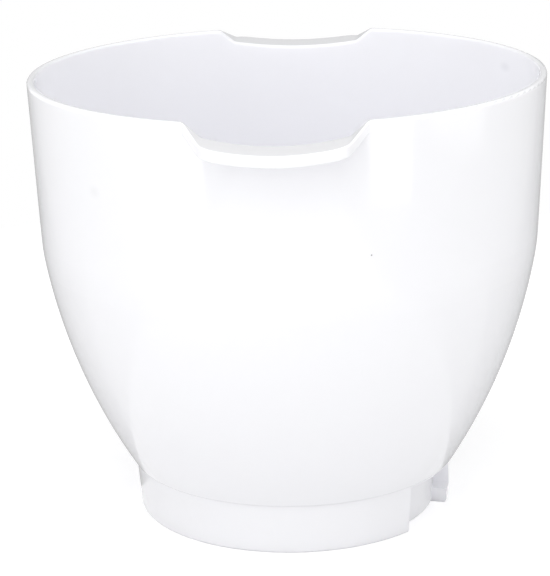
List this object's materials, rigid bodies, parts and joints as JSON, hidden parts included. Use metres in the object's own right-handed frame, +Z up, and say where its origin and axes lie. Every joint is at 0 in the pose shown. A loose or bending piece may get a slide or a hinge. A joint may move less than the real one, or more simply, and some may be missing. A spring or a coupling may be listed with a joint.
{
  "type": "kitchen machine mixing bowl",
  "caption": "Deep white plastic mixing bowl with rounded sides, grip notches with outward lips in the rim, and a foot ring with turn-lock slots.",
  "frame": {"origin": "centre of the foot ring, on the surface that the bowl stands on", "axes": "+Z up along the bowl's axis; the grip notches and their lips face -Y and +Y"},
  "size_m": [0.2148, 0.2438, 0.188],
  "materials": {
    "white_plastic": "glossy injection-moulded polypropylene, white"
  },
  "bodies": {
    "root": {"bowl": "white_plastic"}
  },
  "joints": []
}
